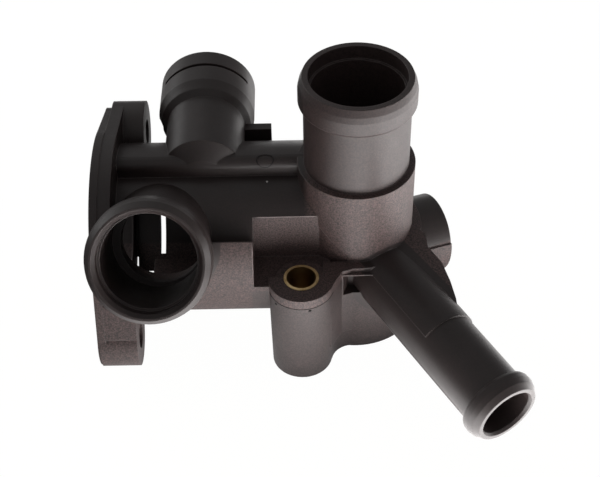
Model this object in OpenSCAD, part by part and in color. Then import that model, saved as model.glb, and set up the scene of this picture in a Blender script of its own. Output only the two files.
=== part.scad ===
// Moulded coolant flange: a body tube that bolts to an engine by a two-bolt flange,
// with three hose spigots, two sensor ports and a bolt column with a metal bush.
// Frame of the part: the origin is the centre of the flange's sealing face, X runs along the body
// tube away from the flange, Z is the direction of the top spigot, Y points away from the side
// with the two front spigots. The modules are drawn about the point where the tube and the top
// spigot cross, and to_flange() moves them. All sizes are in millimetres.

/* [Body tube] */
// Radius of the upper front quarter of the body tube
tube_r = 21.25; // [20:0.25:22]
// Radius of the rear and lower part of the body tube
shell_r = 27.4; // [27:0.1:28.5]
// Wall thickness of the body
wall = 3; // [2.5:0.1:3.4]
// X of the flange face that the body stands on
flange_x = -75.4; // [-79:0.2:-75]
// X where the wide part of the body ends
shell_end_x = -8; // [-10:0.5:-7]

/* [Flange] */
// Thickness of the flange plate
plate_t = 6.4; // [5.6:0.1:9]
// Radius of the round middle of the flange
plate_r = 33; // [32:0.5:35]
// Radius of the flange ears
ear_r = 10.5; // [10:0.1:12]
// Distance from the body axis to the rear flange bolt
bolt_far = 33.2; // [32.6:0.2:36]
// Distance from the body axis to the front flange bolt
bolt_near = 36; // [34:0.2:38]
// Angle of the bolt line above the horizontal
bolt_angle = 29.5; // [25:0.5:34]
// Height of the bolt bosses above the flange plate
boss_h = 6; // [4:0.2:7]
// Width of the groove for the sealing ring
groove_w = 3.2; // [2.6:0.1:4]
// Radius of the flange bolt holes
bolt_hole_r = 4.3; // [3.4:0.1:5]

/* [Top spigot] */
// Outside radius of the top spigot
top_r = 16.5; // [15.5:0.1:17]
// Radius of the bead on the top spigot
top_bead_r = 18.1; // [17.8:0.1:19]
// Bore radius of the top spigot
top_bore_r = 14.2; // [13:0.1:14.5]
// Height of the rim of the top spigot
top_z = 59.6; // [54:0.2:75]

/* [Barrel] */
// Radius of the upper barrel
barrel_r = 18.5; // [18.2:0.1:19.5]
// Height of the lip of the barrel
barrel_z = 27.1; // [26.8:0.1:29]
// Radius of the foot below the middle
foot_r = 21.6; // [21:0.1:22.4]
// Height of the foot and of the bolt column face
column_z = 0.5; // [0:0.1:1]
// Z of the underside of the foot
foot_z = -36; // [-42:0.5:-34]

/* [Front spigot] */
// X where the axis of the front spigot crosses the body axis
front_x = -62; // [-62.5:0.1:-60]
// Angle of the front spigot above the horizontal
front_angle = 31.5; // [29:0.5:34]
// Length of the front spigot from the body axis
front_len = 54; // [50:0.5:66]
// Outside radius of the front spigot
front_r = 16.5; // [16:0.1:17]
// Radius of the opening from the front spigot into the body
front_port_r = 12.8; // [10:0.1:13]

/* [Heater spigot] */
// Turn of the heater spigot toward +X
heater_turn = 30.9; // [28:0.1:34]
// Drop of the heater spigot below the horizontal
heater_drop = 3.6; // [2.5:0.1:4.5]
// Z where the heater axis crosses the barrel axis
heater_z = -7.4; // [-8:0.1:-7]
// Length of the heater spigot from the barrel axis
heater_len = 82.1; // [78:0.1:95]
// Outside radius of the heater spigot
heater_r = 10.35; // [9.9:0.05:10.6]
// Bore radius of the heater spigot
heater_bore_r = 8.4; // [7:0.1:8.6]

/* [Sensor ports] */
// X of the rear sensor port
sensor_x = -48.5; // [-49.5:0.1:-47.5]
// Z of the rear sensor port
sensor_z = 20; // [19:0.1:20.5]
// Radius of the neck of the sensor ports
neck_r = 12.8; // [12.4:0.1:13.2]
// Radius of the collar of the rear sensor port
collar_r = 15.9; // [15.6:0.1:17]
// Bore radius of both sensor ports
sensor_bore_r = 10; // [9:0.1:10.4]
// Turn of the side sensor port toward the rear
side_turn = 23; // [20:0.5:26]
// Length of the side sensor port from the barrel axis
side_len = 29.5; // [28:0.5:34]

/* [Bolt column] */
// X of the bolt column
column_x = -17.9; // [-18.4:0.1:-17.4]
// Y of the bolt column
column_y = -25.2; // [-25.8:0.1:-24.8]
// Radius of the bolt column at its top
column_r = 10.4; // [10:0.1:10.8]
// Outside radius of the metal bush
bush_r = 5.53; // [5:0.01:6]
// Bore radius of the metal bush
bush_bore_r = 4.55; // [4.1:0.05:4.7]

/* [Hidden] */
$fn = 96;
eps = 0.01;
big = 120;
plate_x = flange_x - plate_t;
// rim radius left where a bead ends
top_rim_r = top_r + 0.3;
front_rim_r = front_r + 0.3;
front_bead_r = front_r + 2.2;
// lead-in of the inlet, as deep as the flange plate
mouth_r = tube_r - wall + 0.35;
// the wide shell stops along the top of the tube and along a slanted step at the front
step_dir = 43.9;
step_y = -18.6;
step_z = 10.2;
// notch that clears the bolt head over the column
notch_x = -32.7;
notch_y = -13.8;
pocket_z = -1;
// lower tube that shows between the column and the heater spigot
core_r = 23;
// x where the front lower part of the chamber gets wide
chamber_x = -46;
// centre of the fillet that touches the column and the foot
fillet_r = 7;
fillet_d = norm([column_x, column_y]);
fillet_a = foot_r + fillet_r - 0.1;
fillet_b = column_r - 0.5 + fillet_r;
fillet_t = (fillet_a ^ 2 - fillet_b ^ 2 + fillet_d ^ 2) / (2 * fillet_d);
fillet_h = sqrt(max(0.01, fillet_a ^ 2 - fillet_t ^ 2));
fillet_c = [(column_x * fillet_t - column_y * fillet_h) / fillet_d,
    (column_y * fillet_t + column_x * fillet_h) / fillet_d];
// recess between the bolt column and the root of the heater spigot
arch_z = -10.4;
arch_lid = 2;
arch_r = 18;
// rear window under the front spigot
window_x0 = -74.9;
window_x1 = -64.6;
// flat bar that divides the window
bar_x0 = -73.95;
bar_x1 = -66.4;
bar_y = 22.4;
window_y = 6;
window_z = -9.1;
window_h = 17;
window_drop = 6.6;
slot_h = 5.6;
// round mould mark on top of the body
mark_x = -28.6;
mark_y = 0.4;
mark_r = 2.6;
mark_d = 0.35;
bush_gap = 0.02;
bush_proud = 0.2;
rim_t = 2.5;
flank_in = 0.08;
// the outline of the front ear lies nearer the body than its boss
ear_in = 1.2;
groove_r = 20.2;
groove_d = 2.2;
step_round = 3;

// a cylinder along +X from x0 to x1
module along_x(r, x0, x1) {
    translate([x0, 0, 0])
        rotate([0, 90, 0])
            cylinder(r = r, h = x1 - x0);
}

// turns +Z to the outward axis of the front spigot
module front_frame() {
    translate([front_x, 0, 0])
        rotate([90 - front_angle, 0, 0])
            children();
}

// turns +Z to the outward axis of the heater spigot, +Y of the children points up
module heater_frame() {
    translate([0, 0, heater_z])
        rotate([0, 0, heater_turn])
            rotate([90 + heater_drop, 0, 0])
                children();
}

// turns +Z to the outward axis of the rear sensor port
module sensor_frame() {
    translate([sensor_x, 0, sensor_z])
        rotate([-90, 0, 0])
            children();
}

// turns +Z to the outward axis of the side sensor port
module side_frame() {
    translate([0, 0, -12.5])
        rotate([0, 0, side_turn])
            rotate([0, 95, 0])
                children();
}

// puts a drawing in (y, z) on the plane X = x0 and raises it by h along +X
module on_x(x0, h) {
    translate([x0, 0, 0])
        rotate([90, 0, 90])
            linear_extrude(height = h)
                children();
}

// quarter that is cut from the wide shell, grown by g
module quarter_2d(g) {
    polygon([[g, -g * 0.5], [g, big], [-big, big],
        [step_y - g * 0.69 - big * cos(step_dir), step_z - g * 0.72 + big * sin(step_dir)],
        [step_y - g * 0.69, step_z - g * 0.72], [step_y * 0.8, step_z * 0.8 - g * 0.9]]);
}

module shell_2d(r, g) {
    difference() {
        circle(r = r);
        quarter_2d(g);
    }
}

// one half of the flange outline: the ear, and flanks that lie a little inside the tangents
module half_plate_2d(rm, re, d) {
    a = acos((rm - re) / d);
    m = rm - flank_in;
    e = re - flank_in;
    translate([d, 0])
        circle(r = re);
    polygon([[m * cos(a), m * sin(a)], [d + e * cos(a), e * sin(a)],
        [d + e * cos(a), -e * sin(a)], [m * cos(a), -m * sin(a)]]);
}

module plate_2d(rm, re_far, re_near) {
    circle(r = rm);
    rotate([0, 0, bolt_angle])
        half_plate_2d(rm, re_far, bolt_far);
    rotate([0, 0, bolt_angle + 180])
        half_plate_2d(rm, re_near, bolt_near - ear_in);
}

module far_ear_2d(r) {
    rotate([0, 0, bolt_angle])
        translate([bolt_far, 0])
            circle(r = r);
}

module near_ear_2d(r) {
    rotate([0, 0, bolt_angle + 180])
        translate([bolt_near, 0])
            circle(r = r);
}

module flange_outer() {
    // thin rim against the engine, smaller round the rear ear
    on_x(plate_x, rim_t)
        plate_2d(plate_r, ear_r - 2.1, ear_r);
    // plate, left out under the front ear
    on_x(plate_x + rim_t - eps, plate_t - rim_t + eps)
        difference() {
            plate_2d(plate_r - 0.4, ear_r, ear_r - 0.4);
            difference() {
                translate([-60, -60])
                    square([60, 48.4]);
                circle(r = plate_r - 1.5);
            }
        }
    // bolt bosses
    on_x(plate_x + 0.5, plate_t + boss_h - 0.5)
        near_ear_2d(ear_r - 0.7);
    on_x(plate_x + rim_t + 0.2, plate_t + boss_h + 0.6 - rim_t)
        far_ear_2d(ear_r - 0.02);
    // block that joins the front boss to the body
    on_x(plate_x + 0.5, plate_t + boss_h - 0.5)
        intersection() {
            plate_2d(plate_r - 0.05, ear_r - 0.5, ear_r - 0.05);
            translate([-45, -11.6])
                square([26, 11]);
        }
}

module body_outer() {
    on_x(plate_x + 0.3, shell_end_x - plate_x - 0.3)
        difference() {
            shell_2d(shell_r, 0);
            // the upper edge of the step is round
            difference() {
                translate([-1, shell_r - step_round - 0.2])
                    square([1 + step_round, step_round + 1]);
                translate([step_round, shell_r - step_round - 0.2])
                    circle(r = step_round);
            }
        }
    along_x(tube_r, plate_x + 0.3, 0);
    // lower tube between the column and the heater spigot
    intersection() {
        along_x(core_r, shell_end_x - 8, 5);
        translate([-30, -big, -big])
            cube([big, 2 * big, big + column_z - 0.2]);
    }
}

module barrel_outer() {
    translate([0, 0, foot_z + 0.2])
        cylinder(r = barrel_r, h = barrel_z - foot_z - 0.2);
    translate([0, 0, foot_z])
        cylinder(r = foot_r, h = column_z - foot_z);
}

// recess in the foot beside the root of the heater spigot
module arch_cut() {
    difference() {
        translate([0, 0, arch_z])
            linear_extrude(height = column_z - arch_lid - arch_z)
                polygon([[0, -10], [-4.6, -22.6], [-6.4, -25.4], [-6, -40], [12, -40], [12, -10]]);
        translate([0, 0, arch_z - 1])
            cylinder(r = arch_r, h = 20);
    }
}

// flat wall, side wall and pocket floor over the bolt column
module notch_cut() {
    translate([notch_x, -big, pocket_z])
        cube([big, big + notch_y, big]);
    // bevel along the upper edge of the wall
    translate([notch_x, notch_y - 0.01, 15.2])
        rotate([40, 0, 0])
            translate([0, -20, 0])
                cube([big, 20, 12]);
}

// walls that stand inside the body behind the notch and round the bolt column
module inner_walls() {
    difference() {
        intersection() {
            on_x(notch_x - wall, 24 + wall) {
                circle(r = tube_r - 0.3);
                shell_2d(shell_r - 0.3, 0.3);
            }
            translate([notch_x - wall, -big, pocket_z - wall])
                cube([60, big + notch_y + wall, big]);
        }
        notch_cut();
        translate([0, 0, -big])
            cylinder(r = barrel_r - wall / 2, h = 2 * big);
    }
    // wall of the barrel where the chamber runs past it
    intersection() {
        translate([0, 0, pocket_z - wall])
            difference() {
                cylinder(r = barrel_r - 0.2, h = 24);
                translate([0, 0, -1])
                    cylinder(r = barrel_r - wall, h = 30);
            }
        translate([-30, -40, -40])
            cube([32, 32, 80]);
    }
    translate([column_x, column_y, foot_z + 0.3])
        cylinder(r = bush_r + 2.6, h = column_z - foot_z - 0.6);
    // bar in the rear window, and the thin wall beside it over the slot
    intersection() {
        along_x(shell_r - 0.4, window_x0 - 2, window_x1 + 2);
        rotate([-step_dir, 0, 0]) {
            translate([bar_x0, bar_y, window_z - window_drop - 1])
                cube([bar_x1 - bar_x0, big, window_h + window_drop + 2]);
            translate([window_x0 - 1, bar_y + 2.2, window_z - window_drop + slot_h])
                cube([bar_x0 - window_x0 + 2, big, window_h + window_drop - slot_h + 1]);
        }
    }
}

module column_outer() {
    translate([column_x, column_y, foot_z])
        cylinder(r1 = column_r - 0.6, r2 = column_r, h = column_z - foot_z);
    // hollow fillet from the column to the foot
    translate([0, 0, foot_z + 0.1])
        linear_extrude(height = arch_z - foot_z)
            difference() {
                polygon([[0, 0], [column_x, column_y], fillet_c]);
                translate(fillet_c)
                    circle(r = fillet_r);
            }
    // web from the column to the barrel
    translate([0, 0, foot_z + 8])
        linear_extrude(height = column_z - foot_z - 8)
            polygon([[column_x - 7.5, column_y + 7], [-8.6, -29.4], [-6.6, -25.6], [-5, -22.8],
                [-1, -21.4], [0, -10], [-20, -10]]);
}

module top_outer() {
    rotate_extrude()
        polygon([[0, 0], [top_r, 0], [top_r, top_z - 9.4], [top_bead_r - 0.3, top_z - 9.1],
            [top_bead_r, top_z - 8.4], [top_bead_r, top_z - 4.2], [top_bead_r - 0.4, top_z - 2.2],
            [top_rim_r, top_z], [0, top_z]]);
}

module front_outer() {
    front_frame()
        rotate_extrude()
            polygon([[0, 8], [front_r, 8], [front_r, front_len - 9.4],
                [front_bead_r - 0.3, front_len - 9.1], [front_bead_r, front_len - 8.4],
                [front_bead_r, front_len - 4.2], [front_bead_r - 0.4, front_len - 2.2],
                [front_rim_r, front_len], [0, front_len]]);
}

// the root stands a little proud and ends in a step across the tube and a step along it
module heater_outer() {
    heater_frame() {
        rotate_extrude()
            polygon([[0, 0], [heater_r, 0], [heater_r, heater_len - 6.9],
                [heater_r + 1.3, heater_len - 6.3], [heater_r + 1.7, heater_len - 5.4],
                [heater_r + 1.7, heater_len - 3.6], [heater_r + 1.2, heater_len - 1.8],
                [heater_r - 0.1, heater_len], [0, heater_len]]);
        intersection() {
            cylinder(r = heater_r + 0.55, h = 50.3);
            rotate([0, 0, -43])
                translate([-big, 0, 0])
                    cube([2 * big, big, big]);
        }
    }
}

// web between the heater spigot and the side sensor port
module heater_web() {
    intersection() {
        translate([0, 0, -16])
            linear_extrude(height = 30)
                polygon([[0, -6], [18, -4], [22.3, -7.2], [22.8, -12.8], [24.6, -15.3], [26.8, -18.6],
                    [28.9, -25.7], [30.1, -32], [30.4, -38], [22, -40], [2, -12]]);
        // sloping top that falls along the spigot
        rotate([0, 0, heater_turn])
            translate([-60, 0, 0])
                rotate([90, 0, 90])
                    linear_extrude(height = big)
                        polygon([[10, -16], [10, 6.8], [-60, -6], [-60, -16]]);
    }
}

module sensor_outer() {
    sensor_frame()
        rotate_extrude()
            polygon([[0, 0.4], [7.3, 0.4], [neck_r, 4.1], [neck_r, 26.4], [neck_r + 1.9, 28.2],
                [collar_r - 0.7, 29.8], [collar_r, 31.8], [collar_r, 46.7],
                [collar_r - 0.8, 47.7], [0, 47.7]]);
    // small lug beside the neck
    translate([sensor_x + 4, 23.8, 0])
        cube([17.6, 3, sensor_z + 0.8]);
}

module side_outer() {
    side_frame() {
        cylinder(r = neck_r + 0.2, h = side_len);
        // the lower half of the mould stands a little proud
        intersection() {
            cylinder(r = neck_r + 0.8, h = side_len);
            translate([-4.7, -big, 0])
                cube([big, 2 * big, big]);
        }
    }
}

module housing_outer() {
    difference() {
        union() {
            difference() {
                body_outer();
                notch_cut();
            }
            barrel_outer();
            column_outer();
        }
        arch_cut();
    }
    flange_outer();
    top_outer();
    front_outer();
    heater_outer();
    heater_web();
    sensor_outer();
    side_outer();
}

module bores() {
    // main chamber and its wide rear and lower part
    along_x(tube_r - wall, plate_x - 1, 0);
    along_x(mouth_r, plate_x - 1, flange_x);
    on_x(flange_x + wall, shell_end_x - flange_x - 2 * wall)
        intersection() {
            circle(r = shell_r - wall);
            translate([wall, -big])
                square(2 * big);
        }
    on_x(chamber_x, shell_end_x - chamber_x - wall)
        shell_2d(shell_r - wall, wall);
    // barrel chamber
    translate([0, 0, -(tube_r - wall)])
        cylinder(r = barrel_r - wall, h = tube_r - wall + 20);
    // top spigot
    cylinder(r = top_bore_r, h = big);
    translate([0, 0, top_z - 4.6])
        cylinder(r = top_bore_r + 0.8, h = 20);
    // front spigot, the tube is wider than its opening into the body
    front_frame() {
        translate([1.2, 0, 4])
            cylinder(r = front_port_r, h = 30);
        translate([0, 0, 23.5])
            cylinder(r = front_r - 2.3, h = big);
        translate([0, 0, front_len - 4.6])
            cylinder(r = front_r - 1.5, h = big);
        translate([0, 0, front_len - 1.4])
            cylinder(r1 = front_r - 1.5, r2 = front_r - 0.4, h = 1.4 + eps);
    }
    // heater spigot
    heater_frame()
        translate([0, 0, 6]) {
            cylinder(r = heater_bore_r, h = big);
            translate([0, 0, heater_len - 6 - 1])
                cylinder(r1 = heater_bore_r, r2 = heater_bore_r + 0.6, h = 1 + eps);
        }
    // sensor ports
    sensor_frame()
        translate([0, 0, 9])
            cylinder(r = sensor_bore_r, h = big);
    side_frame()
        translate([0, 0, 8])
            cylinder(r = sensor_bore_r, h = big);
    // groove for the sealing ring
    translate([plate_x - 1, 0, 0])
        rotate([0, 90, 0])
            difference() {
                cylinder(r = groove_r + groove_w, h = groove_d + 1);
                translate([0, 0, -1])
                    cylinder(r = groove_r, h = groove_d + 3);
            }
    // hollow under the foot
    difference() {
        translate([0, 0, foot_z - 1])
            cylinder(r = foot_r - wall, h = 1 - foot_z - shell_r + 4.4);
        translate([column_x, column_y, foot_z - 2])
            cylinder(r = column_r - 0.3, h = 40);
    }
}

// clip slot through the upper part of the collar
module clip_slot() {
    sensor_frame()
        difference() {
            translate([-20, -30, 38.9])
                cube([40, 30 - 0.5 * collar_r, 1.4]);
            translate([0, 0, 38])
                cylinder(r = sensor_bore_r + 2.2, h = 4);
        }
}

// rear window behind the front spigot, with a low slot on one side of its bar
module window_cut() {
    rotate([-step_dir, 0, 0]) {
        translate([window_x0, window_y, window_z])
            cube([window_x1 - window_x0, 2 * shell_r, window_h]);
        translate([window_x0, window_y, window_z - window_drop])
            cube([bar_x1 - window_x0 - 1, 2 * shell_r, 2 * window_drop]);
    }
}

module housing_walls() {
    difference() {
        housing_outer();
        bores();
        clip_slot();
        window_cut();
    }
    inner_walls();
}

// moves the drawing frame to the frame of the part
module to_flange() {
    translate([-plate_x, 0, 0])
        children();
}

module housing() {
    color("#2b2624")
        to_flange()
            difference() {
                housing_walls();
                // flange bolt holes
                on_x(plate_x - plate_t, 3 * plate_t + boss_h) {
                    far_ear_2d(bolt_hole_r);
                    near_ear_2d(bolt_hole_r);
                }
                // seat of the metal bush
                translate([column_x, column_y, foot_z - 1])
                    cylinder(r = bush_r + bush_gap, h = column_z - foot_z + 2);
                // round mould mark on top of the body
                translate([mark_x, mark_y, shell_r - mark_d])
                    cylinder(r = mark_r, h = wall);
            }
}

module boss_insert() {
    color("#c9a24a")
        to_flange()
            translate([column_x, column_y, foot_z])
                difference() {
                    cylinder(r = bush_r, h = column_z - foot_z + bush_proud);
                    translate([0, 0, -1])
                        cylinder(r = bush_bore_r, h = column_z - foot_z + 4);
                }
}

housing();
boss_insert();
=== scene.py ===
"""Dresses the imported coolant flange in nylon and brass, adds its mould marks and sets up the picture."""

import logging
import math
from dataclasses import dataclass, field
from enum import Enum

import bpy
import numpy as np
from mathutils import Matrix, Vector


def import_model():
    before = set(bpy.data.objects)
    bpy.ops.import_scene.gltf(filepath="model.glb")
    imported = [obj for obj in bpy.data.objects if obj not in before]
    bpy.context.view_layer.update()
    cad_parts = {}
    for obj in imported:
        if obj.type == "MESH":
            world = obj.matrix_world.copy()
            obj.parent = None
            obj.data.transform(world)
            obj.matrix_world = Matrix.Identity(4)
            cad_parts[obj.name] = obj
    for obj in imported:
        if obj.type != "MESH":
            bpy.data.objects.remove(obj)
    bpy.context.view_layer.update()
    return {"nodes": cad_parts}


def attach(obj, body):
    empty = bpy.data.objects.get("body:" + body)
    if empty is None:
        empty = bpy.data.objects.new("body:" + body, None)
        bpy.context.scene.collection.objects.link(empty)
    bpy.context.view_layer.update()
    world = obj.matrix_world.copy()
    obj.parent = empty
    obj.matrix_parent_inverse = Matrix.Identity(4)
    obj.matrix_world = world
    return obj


log = logging.getLogger("coolant_flange")

MM = 0.001
# millimetres along the body from the sealing face to the barrel axis
FLANGE_TO_BARREL = 81.8
# metres along the body to the middle of the part
MIDDLE_X = 0.075
# millimetres over which a mask fades at its radius and at its start
RADIUS_BLUR = 0.15
START_BLUR = 0.3
IMAGE_WIDTH = 600
FOCAL_PIXELS = 1261.6253
SENSOR_WIDTH = 36.0
SHOWN_WHITE = (1.0, 1.0, 0.995, 1.0)
# points round a ridge's section, steps over which its end shrinks, and the share that is left there
RIDGE_SIDES = 10
TAPER_STEPS = 6.0
END_SHARE = 0.02
NIB_SIDES = 16
NIB_RINGS = 11
# a direction that no nib points along
NIB_ASKEW = (0.3, 0.2, 0.93)
# order of a quad's corners when it is walked the other way from the same corner
OTHER_WAY_ROUND = [0, 3, 2, 1]

Colour = tuple[float, float, float, float]
Place = tuple[float, float, float]
Span = tuple[float, float]
LampColour = tuple[float, float, float]
Socket = bpy.types.NodeSocket


def drawing_point(x: float, y: float, z: float) -> np.ndarray:
    """Moves a point from millimetres about the barrel axis to metres in the part's frame."""
    return np.array([x + FLANGE_TO_BARREL, y, z]) * MM


def unit(v: np.ndarray) -> np.ndarray:
    """Returns v scaled to length one."""
    return np.asarray(v, float) / np.linalg.norm(v)


def from_flange(span: Span) -> Span:
    """Moves a span along the body from the barrel axis to the sealing face, in millimetres."""
    return (FLANGE_TO_BARREL + span[0], FLANGE_TO_BARREL + span[1])


class PartAxis(Enum):
    """Axes that masks and marks follow: a point in millimetres about the barrel axis, and a direction."""

    TOP = ((0.0, 0.0, 0.0), (0.0, 0.0, 1.0))
    FRONT = ((-62.0, 0.0, 0.0), (0.0, -0.8526, 0.5225))
    HEATER = ((0.0, 0.0, -7.4), (0.5125, -0.8564, -0.0628))
    REAR_PORT = ((-48.5, 0.0, 20.0), (0.0, 1.0, 0.0))
    SIDE_PORT = ((0.0, 0.0, -12.5), (0.917, 0.3892, -0.0872))
    COLUMN = ((-17.9, -25.2, 0.0), (0.0, 0.0, 1.0))
    TUBE = ((0.0, 0.0, 0.0), (1.0, 0.0, 0.0))

    def point(self) -> np.ndarray:
        """The point on the axis, in metres in the part's frame."""
        return drawing_point(*self.value[0])

    def direction(self) -> np.ndarray:
        """The axis direction, of length one."""
        return unit(np.array(self.value[1]))


class Graph:
    """Builds one material's nodes in short calls."""

    def __init__(self, name: str) -> None:
        """Makes the material and clears its tree.

        Args:
            name: the material's name.
        """
        self.material = bpy.data.materials.new(name)
        self.material.use_nodes = True
        self.tree = self.material.node_tree
        self.tree.nodes.clear()

    def node(self, kind: str, **settings: object) -> bpy.types.Node:
        """Adds a node and sets its properties.

        Args:
            kind: the node's type name.
            settings: properties by name.

        Returns:
            The new node.
        """
        made = self.tree.nodes.new(kind)
        for key, value in settings.items():
            setattr(made, key, value)
        return made

    def feed(self, socket: bpy.types.NodeSocket, value: object) -> None:
        """Links a socket to value when value is a socket, and otherwise sets it.

        Args:
            socket: the input.
            value: a socket, a number, a colour or a vector.
        """
        if isinstance(value, bpy.types.NodeSocket):
            self.tree.links.new(value, socket)
        elif isinstance(value, (int, float)):
            socket.default_value = value
        else:
            socket.default_value = tuple(value)

    def math(self, operation: str, a: object, b: object = 0.0, clamp: bool = False) -> Socket:
        """Adds a math node and returns its output.

        Args:
            operation: the node's operation.
            a: first value or socket.
            b: second value or socket.
            clamp: whether the result is held between 0 and 1.

        Returns:
            The output socket.
        """
        made = self.node("ShaderNodeMath", operation=operation, use_clamp=clamp)
        self.feed(made.inputs[0], a)
        self.feed(made.inputs[1], b)
        return made.outputs[0]

    def vector(self, operation: str, a: object, b: object = (0.0, 0.0, 0.0)) -> bpy.types.Node:
        """Adds a vector math node and returns the node.

        Args:
            operation: the node's operation.
            a: first vector or socket.
            b: second vector or socket.

        Returns:
            The node, so that either of its outputs can be used.
        """
        made = self.node("ShaderNodeVectorMath", operation=operation)
        self.feed(made.inputs[0], a)
        self.feed(made.inputs[1], b)
        return made

    def ramp(self, value: object, low: float, high: float, to_low: float = 0.0,
             to_high: float = 1.0) -> Socket:
        """Maps value smoothly from low..high to to_low..to_high.

        Args:
            value: the socket to map.
            low: where the result is to_low.
            high: where the result is to_high.
            to_low: the result at low.
            to_high: the result at high.

        Returns:
            The output socket.
        """
        made = self.node("ShaderNodeMapRange", interpolation_type="SMOOTHSTEP")
        for socket, given in zip(made.inputs, (value, low, high, to_low, to_high)):
            self.feed(socket, given)
        return made.outputs[0]

    def rises(self, value: object, span: Span) -> Socket:
        """Mask that goes from 0 to 1 while value, in metres, runs through a span in millimetres."""
        return self.ramp(value, span[0] * MM, span[1] * MM)

    def falls(self, value: object, span: Span) -> Socket:
        """Mask that goes from 1 to 0 while value, in metres, runs through a span in millimetres."""
        return self.ramp(value, span[0] * MM, span[1] * MM, 1.0, 0.0)

    def parts(self, place: object) -> tuple[Socket, ...]:
        """Splits a vector into its x, y and z.

        Args:
            place: the vector socket.

        Returns:
            The three sockets.
        """
        made = self.node("ShaderNodeSeparateXYZ")
        self.feed(made.inputs[0], place)
        return tuple(made.outputs)

    def noise(self, place: object, scale: float, detail: float, roughness: float) -> Socket:
        """Adds a noise texture on place.

        Args:
            place: the coordinate socket, in metres.
            scale: waves per metre.
            detail: number of octaves.
            roughness: how much each finer octave counts.

        Returns:
            The factor socket.
        """
        made = self.node("ShaderNodeTexNoise")
        self.feed(made.inputs["Vector"], place)
        made.inputs["Scale"].default_value = scale
        made.inputs["Detail"].default_value = detail
        made.inputs["Roughness"].default_value = roughness
        return made.outputs["Fac"]

    def blend_colour(self, share: object, first: object, second: object) -> Socket:
        """Mixes two colours.

        Args:
            share: how much of the second.
            first: the colour at 0.
            second: the colour at 1.

        Returns:
            The colour socket.
        """
        made = self.node("ShaderNodeMix", data_type="RGBA")
        self.feed(made.inputs[0], share)
        self.feed(made.inputs[6], first)
        self.feed(made.inputs[7], second)
        return made.outputs[2]

    def axis_reach(self, place: object, axis: PartAxis) -> tuple[Socket, Socket]:
        """Gives the distance from an axis and the distance along it.

        The distance along is the dot product of (place - point) with the direction. The distance from the
        axis is the length of what is left of (place - point) once that much of the direction is taken away.

        Args:
            place: the coordinate socket, in metres.
            axis: which axis.

        Returns:
            The distance from the axis and the distance along it, in metres.
        """
        away = self.vector("SUBTRACT", place, axis.point()).outputs[0]
        along = self.vector("DOT_PRODUCT", away, axis.direction()).outputs["Value"]
        scaled = self.node("ShaderNodeVectorMath", operation="SCALE")
        scaled.inputs[0].default_value = tuple(axis.direction())
        self.feed(scaled.inputs["Scale"], along)
        rest = self.vector("SUBTRACT", away, scaled.outputs[0]).outputs[0]
        return self.vector("LENGTH", rest).outputs["Value"], along

    def inside_tube(self, place: object, axis: PartAxis, radius: float, start: float) -> Socket:
        """Mask that is 1 within radius of an axis and beyond start along it, in millimetres.

        Args:
            place: the coordinate socket.
            axis: which axis.
            radius: the largest distance from the axis.
            start: where along the axis the mask begins.

        Returns:
            The mask socket.
        """
        reach, along = self.axis_reach(place, axis)
        near = self.ramp(reach, (radius - RADIUS_BLUR) * MM, (radius + RADIUS_BLUR) * MM, 1.0, 0.0)
        past = self.ramp(along, (start - START_BLUR) * MM, (start + START_BLUR) * MM)
        return self.math("MULTIPLY", near, past)


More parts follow.
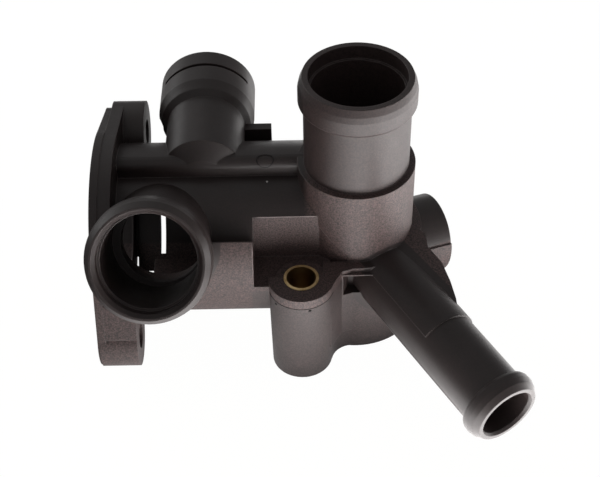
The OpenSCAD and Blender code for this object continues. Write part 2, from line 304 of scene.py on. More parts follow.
@dataclass(frozen=True)
class PolishedFaces:
    """Where the mould was polished. Spans are millimetres about the barrel axis over which a mask fades.

    Attributes:
        top: largest radius and start of the smooth part of the top spigot.
        front: the same for the front spigot.
        heater: the same for the heater spigot.
        rear_port: the same for the rear sensor port.
        side_port: the same for the side sensor port.
        side_port_split: heights at which the side port's smooth upper part begins.
        top_share: how smooth the top spigot is.
        split_lean: shares of y and z in the height above the mould's slanted split.
        split: heights above the slanted split at which the upper body begins.
        body_end: places along the body at which its smooth part ends.
        notch_start: places along the body at which the rough notch begins.
        notch_radius: distances from the body's axis at which the notch ends.
        notch_front: places across the body at which the notch ends.
        foot_top: heights at which the foot ends.
        foot_start: places along the body at which the foot begins.
        foot_front: places across the body at which the foot ends.
        foot_share: how smooth the foot is.
    """

    top: Span = (18.9, 27.4)
    front: Span = (19.6, 20.0)
    heater: Span = (12.7, 13.0)
    rear_port: Span = (16.6, 2.0)
    side_port: Span = (14.5, 17.0)
    side_port_split: Span = (-9.8, -9.0)
    top_share: float = 0.72
    split_lean: Span = (0.694, 0.72)
    split: Span = (-6.0, -5.0)
    body_end: Span = (-17.0, -15.0)
    notch_start: Span = (-33.2, -32.5)
    notch_radius: Span = (20.5, 21.1)
    notch_front: Span = (-13.5, -13.0)
    foot_top: Span = (-3.3, -2.9)
    foot_start: Span = (-34.0, -33.0)
    foot_front: Span = (-15.0, -14.0)
    foot_share: float = 0.6

    def upper_body(self, graph: Graph, place: object) -> Socket:
        """Mask of the body above the mould's slanted split, without the notch.

        Args:
            graph: the material under work.
            place: the coordinate socket.

        Returns:
            The mask socket.
        """
        x, y, z = graph.parts(place)
        across = graph.math("MULTIPLY", y, self.split_lean[0])
        lift = graph.math("ADD", across, graph.math("MULTIPLY", z, self.split_lean[1]))
        upper = graph.rises(lift, self.split)
        left = graph.falls(x, from_flange(self.body_end))
        right = graph.rises(x, from_flange(self.notch_start))
        reach, _ = graph.axis_reach(place, PartAxis.TUBE)
        deep = graph.falls(reach, self.notch_radius)
        notch = graph.math("MULTIPLY", deep, graph.falls(y, self.notch_front))
        notch = graph.math("MULTIPLY", right, notch)
        body = graph.math("MULTIPLY", upper, left)
        return graph.math("MULTIPLY", body, graph.math("SUBTRACT", 1.0, notch))

    def foot(self, graph: Graph, place: object) -> Socket:
        """Mask of the foot below the notch, which is partly smooth.

        Args:
            graph: the material under work.
            place: the coordinate socket.

        Returns:
            The mask socket.
        """
        x, y, z = graph.parts(place)
        below = graph.falls(z, self.foot_top)
        right = graph.rises(x, from_flange(self.foot_start))
        front = graph.falls(y, self.foot_front)
        whole = graph.math("MULTIPLY", below, graph.math("MULTIPLY", right, front))
        return graph.math("MULTIPLY", whole, self.foot_share)

    def side_port_top(self, graph: Graph, place: object) -> Socket:
        """Mask of the upper part of the side sensor port.

        Args:
            graph: the material under work.
            place: the coordinate socket.

        Returns:
            The mask socket.
        """
        side = graph.inside_tube(place, PartAxis.SIDE_PORT, *self.side_port)
        height = graph.parts(place)[2]
        return graph.math("MULTIPLY", side, graph.rises(height, self.side_port_split))

    def mask(self, graph: Graph, place: object) -> Socket:
        """Mask of all the polished faces: the largest of the masks of each.

        Args:
            graph: the material under work.
            place: the coordinate socket.

        Returns:
            1 on the smoothest faces and 0 on the eroded ones.
        """
        masks = (
            graph.math("MULTIPLY", graph.inside_tube(place, PartAxis.TOP, *self.top), self.top_share),
            graph.inside_tube(place, PartAxis.FRONT, *self.front),
            graph.inside_tube(place, PartAxis.HEATER, *self.heater),
            graph.inside_tube(place, PartAxis.REAR_PORT, *self.rear_port),
            self.upper_body(graph, place),
            self.foot(graph, place),
            self.side_port_top(graph, place),
        )
        whole = masks[0]
        for one in masks[1:]:
            whole = graph.math("MAXIMUM", whole, one)
        return whole


@dataclass(frozen=True)
class MouldedNylon:
    """Dark glass-filled nylon: satin where the mould was polished, speckled with painted glints on the
    grain's tips where it was eroded.

    Attributes:
        deep: colour in the hollows of the grain.
        tip_glint: colour of the painted glints on the grain's tips.
        edge: colour on worn edges.
        satin: roughness of the polished faces.
        matt: roughness of the eroded faces.
        edge_radius: radius of the softened edges, in metres.
        grain_scale: grains per metre.
        coarse_share: the coarser grain's scale as a share of the fine one's.
        bump_depth: depth of the grain, in metres.
        specular: strength of the highlight.
        index: index of refraction.
        polished: where the mould was polished.
    """

    deep: Colour = (0.0190, 0.0135, 0.0128, 1.0)
    tip_glint: Colour = (0.122, 0.076, 0.071, 1.0)
    edge: Colour = (0.125, 0.100, 0.095, 1.0)
    satin: float = 0.46
    matt: float = 0.56
    edge_radius: float = 0.00042
    grain_scale: float = 2100.0
    coarse_share: float = 0.62
    bump_depth: float = 0.00016
    specular: float = 0.42
    index: float = 1.53
    polished: PolishedFaces = field(default_factory=PolishedFaces)

    def tone(self, graph: Graph, place: object, fine: Socket, coarse: Socket, eroded: Socket) -> Socket:
        """Works out how light the grain's painted glints make it.

        It is the grain's tips, lighter by painted glints that are weaker on the polished faces, plus a faint
        cloud of random tone.

        Args:
            graph: the material under work.
            place: the coordinate socket.
            fine: the fine grain.
            coarse: the coarser grain.
            eroded: mask of the eroded faces.

        Returns:
            A share from 0, the deep colour, to 1, the colour of the painted glints.
        """
        # painted glints: the grain's tips are coloured lighter, most of all on the eroded faces
        speck = graph.math("MULTIPLY", graph.ramp(fine, 0.36, 0.68), 0.78)
        patch = graph.math("MULTIPLY", graph.ramp(coarse, 0.35, 0.68), 0.22)
        tips = graph.math("ADD", speck, patch)
        strength = graph.math("ADD", graph.math("MULTIPLY", eroded, 0.78), 0.06)
        cloud = graph.ramp(graph.noise(place, 55.0, 3.0, 0.5), 0.3, 0.7)
        shown = graph.math("MULTIPLY", tips, strength)
        return graph.math("ADD", shown, graph.math("MULTIPLY", cloud, 0.04), clamp=True)

    def worn(self, graph: Graph, soft: Socket, flow: Socket) -> Socket:
        """Mask of the rubbed edges, where the softened normal turns away from the true one.

        Args:
            graph: the material under work.
            soft: the softened normal.
            flow: the noise that breaks the edges up.

        Returns:
            The mask socket.
        """
        true_normal = graph.node("ShaderNodeNewGeometry").outputs["Normal"]
        turn = graph.vector("DOT_PRODUCT", soft, true_normal).outputs["Value"]
        rubbed = graph.ramp(turn, 0.80, 0.985, 1.0, 0.0)
        return graph.math("MULTIPLY", rubbed, graph.ramp(flow, 0.30, 0.62, 0.25, 0.8))

    def roughness(self, graph: Graph, eroded: Socket, flow: Socket) -> Socket:
        """Roughness from satin on the polished faces to matt on the eroded ones, with a little flow in it.

        Args:
            graph: the material under work.
            eroded: mask of the eroded faces.
            flow: the noise of the flow.

        Returns:
            The roughness socket.
        """
        even = graph.math("ADD", graph.math("MULTIPLY", eroded, self.matt - self.satin), self.satin)
        return graph.math("ADD", even, graph.math("MULTIPLY", graph.math("SUBTRACT", flow, 0.5), 0.16))

    def grain(self, graph: Graph, fine: Socket, coarse: Socket, eroded: Socket, soft: Socket) -> Socket:
        """Normal of the grained surface, grained most on the eroded faces.

        Args:
            graph: the material under work.
            fine: the fine grain.
            coarse: the coarser grain.
            eroded: mask of the eroded faces.
            soft: the softened normal.

        Returns:
            The normal socket.
        """
        height = graph.math("ADD", graph.math("MULTIPLY", fine, 0.7), graph.math("MULTIPLY", coarse, 0.5))
        bump = graph.node("ShaderNodeBump")
        bump.inputs["Distance"].default_value = self.bump_depth
        graph.feed(bump.inputs["Strength"], graph.math("ADD", graph.math("MULTIPLY", eroded, 0.42), 0.07))
        graph.feed(bump.inputs["Height"], height)
        graph.feed(bump.inputs["Normal"], soft)
        return bump.outputs[0]

    def material(self, name: str) -> bpy.types.Material:
        """Builds the material.

        Args:
            name: its name.

        Returns:
            The material.
        """
        graph = Graph(name)
        out = graph.node("ShaderNodeOutputMaterial")
        shader = graph.node("ShaderNodeBsdfPrincipled")
        graph.tree.links.new(shader.outputs[0], out.inputs[0])
        place = graph.node("ShaderNodeTexCoord").outputs["Object"]
        eroded = graph.math("SUBTRACT", 1.0, self.polished.mask(graph, place))
        fine = graph.noise(place, self.grain_scale, 2.5, 0.62)
        coarse = graph.noise(place, self.grain_scale * self.coarse_share, 2.0, 0.5)
        flow = graph.noise(place, 260.0, 3.0, 0.6)
        bevel = graph.node("ShaderNodeBevel", samples=6)
        bevel.inputs["Radius"].default_value = self.edge_radius
        soft = bevel.outputs[0]
        # base colour: painted glints on the grain's tips, with worn edges over them
        face = graph.blend_colour(self.tone(graph, place, fine, coarse, eroded), self.deep, self.tip_glint)
        colour = graph.blend_colour(self.worn(graph, soft, flow), face, self.edge)
        graph.feed(shader.inputs["Base Color"], colour)
        graph.feed(shader.inputs["Roughness"], self.roughness(graph, eroded, flow))
        graph.feed(shader.inputs["Normal"], self.grain(graph, fine, coarse, eroded, soft))
        shader.inputs["Specular IOR Level"].default_value = self.specular
        shader.inputs["IOR"].default_value = self.index
        return graph.material


@dataclass(frozen=True)
class TurnedBrass:
    """Plain brass with fine turning rings, a little tarnish and painted shade on the wall of its hole.

    Attributes:
        bright: colour of clean metal.
        dull: colour of tarnished metal.
        bore_shade: dark brown colour painted on the wall of the hole as shade.
        hole: radii at which the painted shade on the wall of the hole ends, in millimetres.
        rings: turning rings per metre of radius.
        ring_depth: depth of the rings, in metres.
    """

    bright: Colour = (0.98, 0.76, 0.40, 1.0)
    dull: Colour = (0.66, 0.47, 0.22, 1.0)
    bore_shade: Colour = (0.30, 0.19, 0.075, 1.0)
    hole: Span = (4.60, 4.72)
    rings: float = 3200.0
    ring_depth: float = 0.00002

    def material(self, name: str) -> bpy.types.Material:
        """Builds the material.

        Args:
            name: its name.

        Returns:
            The material.
        """
        graph = Graph(name)
        out = graph.node("ShaderNodeOutputMaterial")
        shader = graph.node("ShaderNodeBsdfPrincipled")
        graph.tree.links.new(shader.outputs[0], out.inputs[0])
        place = graph.node("ShaderNodeTexCoord").outputs["Object"]
        reach, _ = graph.axis_reach(place, PartAxis.COLUMN)
        wave = graph.math("SINE", graph.math("MULTIPLY", reach, self.rings * math.tau))
        stain = graph.ramp(graph.noise(place, 420.0, 4.0, 0.6), 0.35, 0.7)
        # painted shade: the wall of the hole is coloured dark brown instead of lit brass
        shaded_wall = graph.falls(reach, self.hole)
        metal = graph.blend_colour(stain, self.bright, self.dull)
        graph.feed(shader.inputs["Base Color"], graph.blend_colour(shaded_wall, metal, self.bore_shade))
        graph.feed(shader.inputs["Roughness"], graph.math("ADD", graph.math("MULTIPLY", stain, 0.15), 0.36))
        shader.inputs["Metallic"].default_value = 1.0
        bump = graph.node("ShaderNodeBump")
        bump.inputs["Distance"].default_value = self.ring_depth
        bump.inputs["Strength"].default_value = 0.35
        graph.feed(bump.inputs["Height"], wave)
        graph.feed(shader.inputs["Normal"], bump.outputs[0])
        return graph.material


@dataclass(frozen=True)
class Glow:
    """A bright patch of the light table.

    Attributes:
        x: its middle, in metres from the inlet.
        y: its middle, in metres from the inlet.
        inner: radius within which it has its full strength, in metres.
        outer: radius beyond which it gives nothing, in metres.
        strength: how bright it is.
    """

    x: float
    y: float
    inner: float
    outer: float
    strength: float


@dataclass(frozen=True)
class PaleFloor:
    """White light table: white to the camera, and for the part brightest in front and on the right.

    Attributes:
        colour: the table's colour.
        tint: the colour of its light on the part.
        glow: how much of the white is its own for the camera.
        shown: how bright that white is.
        base: brightness of the whole table for the part.
        patches: the brighter patches.
        shade_x: middle of the part's own shade on the table, in metres from the inlet.
        shade: radii round it between which the shade ends, in metres.
    """

    colour: Colour = (0.93, 0.93, 0.925, 1.0)
    tint: Colour = (1.0, 0.985, 0.98, 1.0)
    glow: float = 0.95
    shown: float = 1.04
    base: float = 0.12
    patches: tuple[Glow, ...] = (
        Glow(0.13, -0.16, 0.05, 0.22, 6.2),
        Glow(0.52, -0.04, 0.18, 0.46, 5.6),
        Glow(0.50, -0.50, 0.10, 0.55, 4.0),
        Glow(0.10, -1.45, 0.30, 1.20, 2.0),
        Glow(-0.45, 0.50, 0.10, 0.45, 0.6),
        Glow(0.08, 0.25, 0.04, 0.22, 2.2),
    )
    shade_x: float = 0.085
    shade: Span = (0.02, 0.10)

    def brightness(self, graph: Graph, place: object) -> Socket:
        """Adds up the table's own light at a place.

        Each patch gives its strength times a smooth step of the distance from its middle. The base is added,
        and the sum is dimmed under the part.

        Args:
            graph: the material under work.
            place: the coordinate socket.

        Returns:
            The brightness socket.
        """
        total = graph.math("ADD", self.base, 0.0)
        for patch in self.patches:
            away = graph.vector("SUBTRACT", place, (patch.x, patch.y, 0.0)).outputs[0]
            reach = graph.vector("LENGTH", away).outputs["Value"]
            light = graph.ramp(reach, patch.inner, patch.outer, patch.strength, 0.0)
            total = graph.math("ADD", total, light)
        away = graph.vector("SUBTRACT", place, (self.shade_x, 0.0, 0.0)).outputs[0]
        open_table = graph.ramp(graph.vector("LENGTH", away).outputs["Value"], *self.shade)
        return graph.math("MULTIPLY", total, open_table)

    def material(self, name: str) -> bpy.types.Material:
        """Builds the material.

        Args:
            name: its name.

        Returns:
            The material.
        """
        graph = Graph(name)
        out = graph.node("ShaderNodeOutputMaterial")
        diffuse = graph.node("ShaderNodeBsdfDiffuse")
        diffuse.inputs[0].default_value = self.colour
        white = graph.node("ShaderNodeEmission")
        white.inputs[0].default_value = SHOWN_WHITE
        white.inputs[1].default_value = self.shown
        seen = graph.node("ShaderNodeMixShader")
        seen.inputs[0].default_value = self.glow
        graph.tree.links.new(diffuse.outputs[0], seen.inputs[1])
        graph.tree.links.new(white.outputs[0], seen.inputs[2])
        lamp = graph.node("ShaderNodeEmission")
        lamp.inputs[0].default_value = self.tint
        place = graph.node("ShaderNodeTexCoord").outputs["Object"]
        graph.feed(lamp.inputs[1], self.brightness(graph, place))
        mixed = graph.node("ShaderNodeMixShader")
        graph.feed(mixed.inputs[0], graph.node("ShaderNodeLightPath").outputs["Is Camera Ray"])
        graph.tree.links.new(lamp.outputs[0], mixed.inputs[1])
        graph.tree.links.new(seen.outputs[0], mixed.inputs[2])
        graph.tree.links.new(mixed.outputs[0], out.inputs[0])
        return graph.material


def mesh_object(name: str, points: np.ndarray, quads: np.ndarray) -> bpy.types.Object:
    """Makes an object from a mesh of quads.

    Args:
        name: the object's name.
        points: (n, 3) places in metres.
        quads: (m, 4) corner numbers.

    Returns:
        The linked object, shaded smooth.
    """
    mesh = bpy.data.meshes.new(name)
    mesh.from_pydata(points.tolist(), [], quads.tolist())
    mesh.polygons.foreach_set("use_smooth", np.ones(len(mesh.polygons), bool))
    mesh.update()
    made = bpy.data.objects.new(name, mesh)
    bpy.context.collection.objects.link(made)
    return made


def ring_quads(rings: int, sides: int, closed: bool = False) -> np.ndarray:
    """Quads between rings of points that are numbered ring by ring.

    The quad at ring r and side s has the corners (r, s), (r, s + 1), (r + 1, s + 1) and (r + 1, s).

    Args:
        rings: number of rings.
        sides: points on each ring.
        closed: whether the last ring is joined to the first.

    Returns:
        (m, 4) corner numbers.
    """
    row = np.arange(rings if closed else rings - 1)[:, None] * sides
    ahead = (row + sides) % (rings * sides)
    col = np.arange(sides)[None, :]
    turn = (col + 1) % sides
    return np.stack([row + col, row + turn, ahead + turn, ahead + col], -1).reshape(-1, 4)


def ridge(path: np.ndarray, up: np.ndarray, width: float, height: float,
          closed: bool) -> tuple[np.ndarray, np.ndarray]:
    """Surface of a thin ridge of oval section carried along a path.

    At path parameter s and angle a the point is path(s) + width/2 cos a across(s) + height sin a up(s),
    where across is the path's direction crossed with up. Towards an open end the section shrinks with the
    sine of the steps left, down to a fiftieth. The end itself is left open.

    Args:
        path: (n, 3) places in metres.
        up: (n, 3) surface directions.
        width: full width of the ridge.
        height: how far it stands off the path.
        closed: whether the path comes back to its start.

    Returns:
        Points and quads.
    """
    count = len(path)
    if closed:
        heading = np.roll(path, -1, 0) - np.roll(path, 1, 0)
        taper = np.ones(count)
    else:
        heading = np.gradient(path, axis=0)
        steps = np.minimum(np.arange(count), np.arange(count)[::-1])
        taper = np.clip(np.sin(np.clip(steps / TAPER_STEPS, 0, 1) * math.pi / 2), END_SHARE, 1)
    across = np.cross(heading, up)
    across /= np.linalg.norm(across, axis=1)[:, None]
    angle = np.linspace(0, math.tau, RIDGE_SIDES, endpoint=False)
    rim = (np.cos(angle)[None, :, None] * across[:, None, :] * width / 2
           + np.sin(angle)[None, :, None] * up[:, None, :] * height)
    points = (path[:, None, :] + rim * taper[:, None, None]).reshape(-1, 3)
    return points, ring_quads(count, RIDGE_SIDES, closed)


@dataclass(frozen=True)
class Nib:
    """A small rounded nib on a face of the moulding.

    Attributes:
        name: the piece's name.
        place: where it stands in the part's frame, in millimetres.
        out: the surface direction.
        radius: its radius in millimetres.
    """

    name: str
    place: Place
    out: Place
    radius: float

    def build(self) -> bpy.types.Object:
        """Makes the nib: a ball squashed to half its height along the surface direction.

        At angles u round and v down from the tip the point is place + radius (sin v cos u side
        + sin v sin u other + cos v out / 2). A hole whose radius is a fiftieth of the nib's is left at each
        pole.

        Returns:
            The linked object.
        """
        tip = unit(np.array(self.out))
        side = unit(np.cross(tip, NIB_ASKEW))
        other = np.cross(tip, side)
        u = np.linspace(0, math.tau, NIB_SIDES, endpoint=False)[None, :, None]
        v = np.linspace(END_SHARE, math.pi - END_SHARE, NIB_RINGS)[:, None, None]
        ball = np.sin(v) * (np.cos(u) * side + np.sin(u) * other) + np.cos(v) * tip * 0.5
        points = ((np.array(self.place) + ball * self.radius) * MM).reshape(-1, 3)
        return mesh_object(self.name, points, ring_quads(NIB_RINGS, NIB_SIDES)[:, OTHER_WAY_ROUND])


@dataclass
class MouldMarks:
    """Fine marks that the mould left: split lines, a round pin mark, burred edges and small nibs; the split
    lines, the pin mark and two nibs are coloured as painted shade and the burred edges as a painted
    highlight.

    Attributes:
        line_width: width of a split line, in millimetres.
        line_height: height of the split line along the heater spigot, in millimetres.
        column_line_height: height of the split line round the column, in millimetres.
        column_radius: the column's radius at its split line, in millimetres.
        column_line_at: height of that line above the body's axis, in millimetres.
        column_turn: its first and last angle round the column, in degrees.
        column_steps: number of its places, as in the other fields named so.
        heater_radius: radius of the heater spigot at its split line, in millimetres.
        heater_line_angle: angle of that line up from the tube's left side, in degrees.
        heater_line_span: where it begins and ends along the tube, in millimetres.
        pin_radius: radius of the round pin mark, in millimetres.
        pin_place: its middle along and across the body, in millimetres about the barrel axis.
        pin_section: width and height of its ring, in millimetres.
        shell_radius: radius of the rear part of the body, in millimetres.
        crown_height: height of the body in front of the step along its top, in millimetres.
        crown_edge: place of that step across the body, in millimetres.
        crown_fall: how fast the body falls in front of it, per millimetre.
        notch_span: where the notch's top edge begins and ends, in millimetres from the sealing face.
        notch_at: place across the body and height of that edge, in millimetres.
        notch_section: width and height of its burr, in millimetres.
        tube_end: where the lower tube ends at the notch, in millimetres from the sealing face.
        tube_radius: radius of the lower tube, in millimetres.
        tube_turn: first and last angle of its burr above the horizontal, in degrees.
        tube_section: width and height of that burr, in millimetres.
        nibs: the small nibs.
        made: the finished pieces.
    """

    line_width: float = 0.26
    line_height: float = 0.07
    column_line_height: float = 0.08
    column_radius: float = 10.34
    column_line_at: float = -3.1
    column_turn: Span = (0.0, 359.0)
    column_steps: int = 90
    heater_radius: float = 10.35
    heater_line_angle: float = -14.0
    heater_line_span: Span = (24.0, 74.0)
    heater_steps: int = 80
    pin_radius: float = 2.65
    pin_place: Span = (-28.6, 0.4)
    pin_section: Span = (0.3, 0.09)
    pin_steps: int = 72
    shell_radius: float = 27.4
    crown_height: float = 27.3
    crown_edge: float = 0.1
    crown_fall: float = 0.17
    notch_span: Span = (49.5, 69.2)
    notch_at: Span = (-13.86, 16.12)
    notch_section: Span = (0.34, 0.10)
    notch_steps: int = 60
    tube_end: float = 48.98
    tube_radius: float = 27.38
    tube_turn: Span = (31.0, 8.0)
    tube_section: Span = (0.24, 0.06)
    tube_steps: int = 50
    nibs: tuple[Nib, ...] = (
        Nib("left_nib", (55.87, -31.67, -4.34), (-0.823, -0.568, 0.0), 0.42),
        Nib("front_nib", (66.42, -35.17, -4.05), (0.252, -0.968, 0.0), 0.50),
        Nib("pale_nib", (53.68, -2.74, 21.07), (0.0, -0.105, 0.994), 0.34),
    )
    made: list[bpy.types.Object] = field(default_factory=list)

    def add(self, name: str, path: np.ndarray, up: np.ndarray, section: Span, closed: bool = False) -> None:
        """Makes one ridge and keeps it.

        Args:
            name: the piece's name.
            path: (n, 3) places in metres.
            up: (n, 3) surface directions.
            section: width and height in millimetres.
            closed: whether the path is a loop.
        """
        points, quads = ridge(path, up, section[0] * MM, section[1] * MM, closed)
        self.made.append(mesh_object(name, points, quads))

    def column_split_line(self) -> None:
        """The split line round the bolt column: at each angle, the axis point moved out by the radius."""
        axis = PartAxis.COLUMN
        along = axis.direction()
        side = unit(np.cross(along, [0.0, 1.0, 0.0]))
        other = np.cross(along, side)
        angle = np.radians(np.linspace(*self.column_turn, self.column_steps))[:, None]
        out = np.cos(angle) * side + np.sin(angle) * other
        path = axis.point() + along * self.column_line_at * MM + out * self.column_radius * MM
        self.add("column_split_line", path, out, (self.line_width, self.column_line_height))

    def heater_split_line(self) -> None:
        """The split line along the heater spigot: a straight line at one angle round its axis."""
        axis = PartAxis.HEATER
        direction = axis.direction()
        left = unit(np.cross([0.0, 0.0, 1.0], direction)) * -1.0
        rise = unit(np.cross(direction, left))
        rise = rise if rise[2] > 0 else -rise
        angle = math.radians(self.heater_line_angle)
        out = math.cos(angle) * left + math.sin(angle) * rise
        along = np.linspace(*self.heater_line_span, self.heater_steps)[:, None]
        path = axis.point() + direction * along * MM + out * self.heater_radius * MM
        up = np.repeat(out[None, :], len(path), 0)
        self.add("heater_split_line", path, up, (self.line_width, self.line_height))

    def pin_mark(self) -> None:
        """The round mark on top of the body, a ring laid on the shell.

        Behind the step along the top the height is the square root of the shell's radius squared less y
        squared. In front of it the height falls with the square of the distance from the step.
        """
        angle = np.linspace(0, math.tau, self.pin_steps, endpoint=False)
        x = self.pin_place[0] + self.pin_radius * np.cos(angle)
        y = self.pin_place[1] + self.pin_radius * np.sin(angle)
        behind = np.sqrt(self.shell_radius**2 - y**2)
        in_front = self.crown_height - self.crown_fall * (self.crown_edge - y) ** 2
        z = np.where(y > self.crown_edge, behind, in_front)
        path = (np.stack([x, y, z], 1) + np.array([FLANGE_TO_BARREL, 0, 0])) * MM
        up = np.stack([np.zeros_like(y), y / self.shell_radius, z / self.shell_radius], 1)
        up /= np.linalg.norm(up, axis=1)[:, None]
        self.add("pin_mark", path, up, self.pin_section, True)

    def notch_edge(self) -> None:
        """The burred top edge of the notch over the bolt column, a straight line along the body, coloured
        pale as a painted highlight.
        """
        x = np.linspace(*self.notch_span, self.notch_steps)
        y, z = self.notch_at
        path = np.stack([x, np.full_like(x, y), np.full_like(x, z)], 1) * MM
        up = np.repeat(unit(np.array([0.0, -0.7, 0.7]))[None, :], len(x), 0)
        self.add("notch_edge", path, up, self.notch_section)

    def tube_edge(self) -> None:
        """The burred end of the lower tube at the notch, an arc round the body's axis, coloured pale as a
        painted highlight.
        """
        angle = np.radians(np.linspace(*self.tube_turn, self.tube_steps))
        out = np.stack([np.zeros_like(angle), -np.cos(angle), np.sin(angle)], 1)
        path = (np.array([self.tube_end, 0.0, 0.0]) + out * self.tube_radius) * MM
        self.add("tube_edge", path, out, self.tube_section)

    def build(self) -> None:
        """Makes every mark and dresses it: the split lines, the pin mark and the left and front nibs in
        near-black painted shade, the burred edges in a pale painted highlight and the pale nib near white.
        """
        # painted shade: the split lines, the pin mark and the left and front nibs get this near-black copy
        # of the nylon
        dark = (0.008, 0.006, 0.006, 1.0)
        shaded = MouldedNylon(deep=(0.003, 0.002, 0.002, 1.0), tip_glint=dark, edge=dark, matt=0.8, satin=0.8)
        # painted highlight: the burr ridges along the notch's top edge and at the lower tube's end are
        # coloured pale
        pale_highlight = (0.42, 0.35, 0.34, 1.0)
        burr_highlight = MouldedNylon(deep=(0.20, 0.155, 0.15, 1.0), tip_glint=pale_highlight, edge=pale_highlight)
        scuffed = (0.80, 0.78, 0.76, 1.0)
        pale = MouldedNylon(deep=(0.55, 0.53, 0.52, 1.0), tip_glint=scuffed, edge=scuffed)
        self.column_split_line()
        self.heater_split_line()
        self.pin_mark()
        self.notch_edge()
        self.tube_edge()
        self.made.extend(nib.build() for nib in self.nibs)
        shade = shaded.material("nylon_shaded")
        finishes = {
            "notch_edge": burr_highlight.material("nylon_burr_highlight"),
            "pale_nib": pale.material("nylon_pale"),
        }
        finishes["tube_edge"] = finishes["notch_edge"]
        for one in self.made:
            one.data.materials.append(finishes.get(one.name, shade))
            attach(one, "root")
            log.info("mark %s: %d faces", one.name, len(one.data.polygons))


@dataclass
class Housing:
    """The moulded piece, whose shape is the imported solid.

    Attributes:
        finish: the nylon of the moulding.
    """

    finish: MouldedNylon = field(default_factory=MouldedNylon)

    def build(self, nodes: dict[str, bpy.types.Object]) -> None:
        """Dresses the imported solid.

        Args:
            nodes: the frame's objects by name.
        """
        solid = nodes["housing"]
        solid.data.materials.clear()
        solid.data.materials.append(self.finish.material("nylon_moulded"))
        log.info("housing: %d faces", len(solid.data.polygons))


@dataclass
class Bush:
    """The turned bush in the bolt column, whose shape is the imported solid.

    Attributes:
        finish: the brass of the bush.
    """

    finish: TurnedBrass = field(default_factory=TurnedBrass)

    def build(self, nodes: dict[str, bpy.types.Object]) -> None:
        """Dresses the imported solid.

        Args:
            nodes: the frame's objects by name.
        """
        solid = nodes["boss_insert"]
        solid.data.materials.clear()
        solid.data.materials.append(self.finish.material("brass_turned"))
        log.info("boss_insert: %d faces", len(solid.data.polygons))


@dataclass(frozen=True)
class Lamp:
    """A soft rectangular lamp that looks at the part.

    Attributes:
        name: its name.
        place: where it stands, in metres.
        size: its sides, in metres.
        power: its power in watts.
        colour: its colour.
    """

    name: str
    place: Place
    size: Span
    power: float
    colour: LampColour

    def build(self) -> None:
        """Adds the lamp to the scene."""
        data = bpy.data.lights.new(self.name, "AREA")
        data.shape = "RECTANGLE"
        data.size, data.size_y = self.size
        data.energy = self.power
        data.color = self.colour
        made = bpy.data.objects.new(self.name, data)
        made.location = self.place
        aim = Vector((MIDDLE_X, 0.0, 0.0)) - Vector(self.place)
        made.rotation_euler = aim.to_track_quat("-Z", "Y").to_euler()
        bpy.context.collection.objects.link(made)


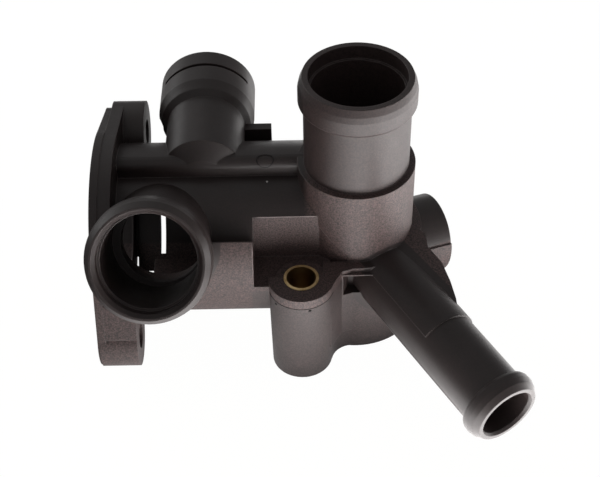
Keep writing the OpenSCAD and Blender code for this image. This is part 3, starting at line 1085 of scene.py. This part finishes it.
@dataclass
class Studio:
    """Table, soft lights, world and camera.

    Attributes:
        floor_z: height of the part's lowest point, in millimetres.
        floor_gap: how far the table lies below it, in millimetres.
        floor_sides: points on each ring of the table.
        floor_rings: number of rings of the table.
        floor_reach: radii of the innermost and the outermost ring, in metres.
        lens: focal length for the sensor's width, in millimetres.
        azimuth: how far the camera is turned about the vertical, in degrees.
        elevation: how far it looks down, in degrees.
        roll: how far it is tilted about its own axis, in degrees.
        distance: how far in front of it the barrel's and the body's axes cross, in millimetres.
        target: how far they cross to the right of its line of sight and below it, in millimetres.
        surround: colour of the room's light on the part.
        lamps: the lamps.
    """

    floor_z: float = -36.0
    floor_gap: float = 0.05
    floor_sides: int = 48
    floor_rings: int = 22
    floor_reach: Span = (0.05, 3.5)
    lens: float = FOCAL_PIXELS * SENSOR_WIDTH / IMAGE_WIDTH
    azimuth: float = 0.15014788
    elevation: float = 43.89591098
    roll: float = -1.16768231
    distance: float = 413.19587
    target: Span = (18.01273405, -5.13585270)
    surround: Colour = (0.31, 0.31, 0.312, 1.0)
    lamps: tuple[Lamp, ...] = (
        Lamp("window", (-1.15, 0.87, 0.36), (0.7, 0.5), 3.0, (1.0, 1.0, 1.0)),
        Lamp("ceiling", (-0.7, 1.1, 1.3), (1.6, 1.6), 1.8, (1.0, 1.0, 0.99)),
    )

    def camera_axes(self) -> np.ndarray:
        """Works out the camera's right, down and forward directions, one per row.

        Forward is (-sin a cos e, cos a cos e, -sin e) for azimuth a and elevation e. Right is
        (cos a, sin a, 0), down is forward crossed with right, and these two are then turned by the roll.

        Returns:
            A (3, 3) array.
        """
        a, e, r = np.radians([self.azimuth, self.elevation, self.roll])
        forward = np.array([-np.sin(a) * np.cos(e), np.cos(a) * np.cos(e), -np.sin(e)])
        right = np.array([np.cos(a), np.sin(a), 0.0])
        down = np.cross(forward, right)
        turn = np.array([[np.cos(r), -np.sin(r), 0], [np.sin(r), np.cos(r), 0], [0, 0, 1]])
        return turn @ np.array([right, down, forward])

    def add_camera(self) -> None:
        """Adds the camera at the photograph's place and makes it the scene's own."""
        axes = self.camera_axes()
        eye = -axes.T @ np.array([self.target[0], self.target[1], self.distance])
        pose = np.eye(4)
        pose[:3, 0] = axes[0]
        pose[:3, 1] = -axes[1]
        pose[:3, 2] = -axes[2]
        pose[:3, 3] = drawing_point(*eye)
        data = bpy.data.cameras.new("camera")
        data.sensor_width = SENSOR_WIDTH
        data.lens = self.lens
        data.clip_start = 0.01
        made = bpy.data.objects.new("camera", data)
        made.matrix_world = Matrix(pose.tolist())
        bpy.context.collection.objects.link(made)
        bpy.context.scene.camera = made

    def add_floor(self) -> None:
        """Adds the white light table, whose rings grow by an even factor round the part's middle."""
        turns = np.linspace(0, math.tau, self.floor_sides, endpoint=False)
        radii = np.concatenate([[0.0], np.geomspace(*self.floor_reach, self.floor_rings)])
        x = np.outer(radii, np.cos(turns)) + MIDDLE_X
        y = np.outer(radii, np.sin(turns))
        z = np.full_like(x, (self.floor_z - self.floor_gap) * MM)
        points = np.stack([x, y, z], -1).reshape(-1, 3)
        quads = ring_quads(len(radii), self.floor_sides)[:, OTHER_WAY_ROUND]
        made = mesh_object("table", points, quads)
        made.data.materials.append(PaleFloor().material("table_white"))

    def add_world(self) -> None:
        """Adds an even grey surround that shows white to the camera."""
        world = bpy.data.worlds.new("surround")
        bpy.context.scene.world = world
        world.use_nodes = True
        tree = world.node_tree
        tree.nodes.clear()
        out = tree.nodes.new("ShaderNodeOutputWorld")
        dim = tree.nodes.new("ShaderNodeBackground")
        dim.inputs[0].default_value = self.surround
        dim.inputs[1].default_value = 1.0
        white = tree.nodes.new("ShaderNodeBackground")
        white.inputs[0].default_value = SHOWN_WHITE
        white.inputs[1].default_value = 1.0
        mixed = tree.nodes.new("ShaderNodeMixShader")
        path = tree.nodes.new("ShaderNodeLightPath")
        tree.links.new(path.outputs["Is Camera Ray"], mixed.inputs[0])
        tree.links.new(dim.outputs[0], mixed.inputs[1])
        tree.links.new(white.outputs[0], mixed.inputs[2])
        tree.links.new(mixed.outputs[0], out.inputs[0])

    def build(self) -> None:
        """Sets up everything round the part."""
        self.add_camera()
        self.add_floor()
        self.add_world()
        for lamp in self.lamps:
            lamp.build()
        bpy.context.scene.view_settings.view_transform = "Standard"
        log.info("studio: camera, table, world and %d lamps", len(self.lamps))


def main() -> None:
    logging.basicConfig(level=logging.INFO, format="%(name)s: %(message)s")
    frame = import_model()
    Housing().build(frame["nodes"])
    Bush().build(frame["nodes"])
    MouldMarks().build()
    Studio().build()
    log.info("sizes written")


if __name__ == "__main__":
    main()
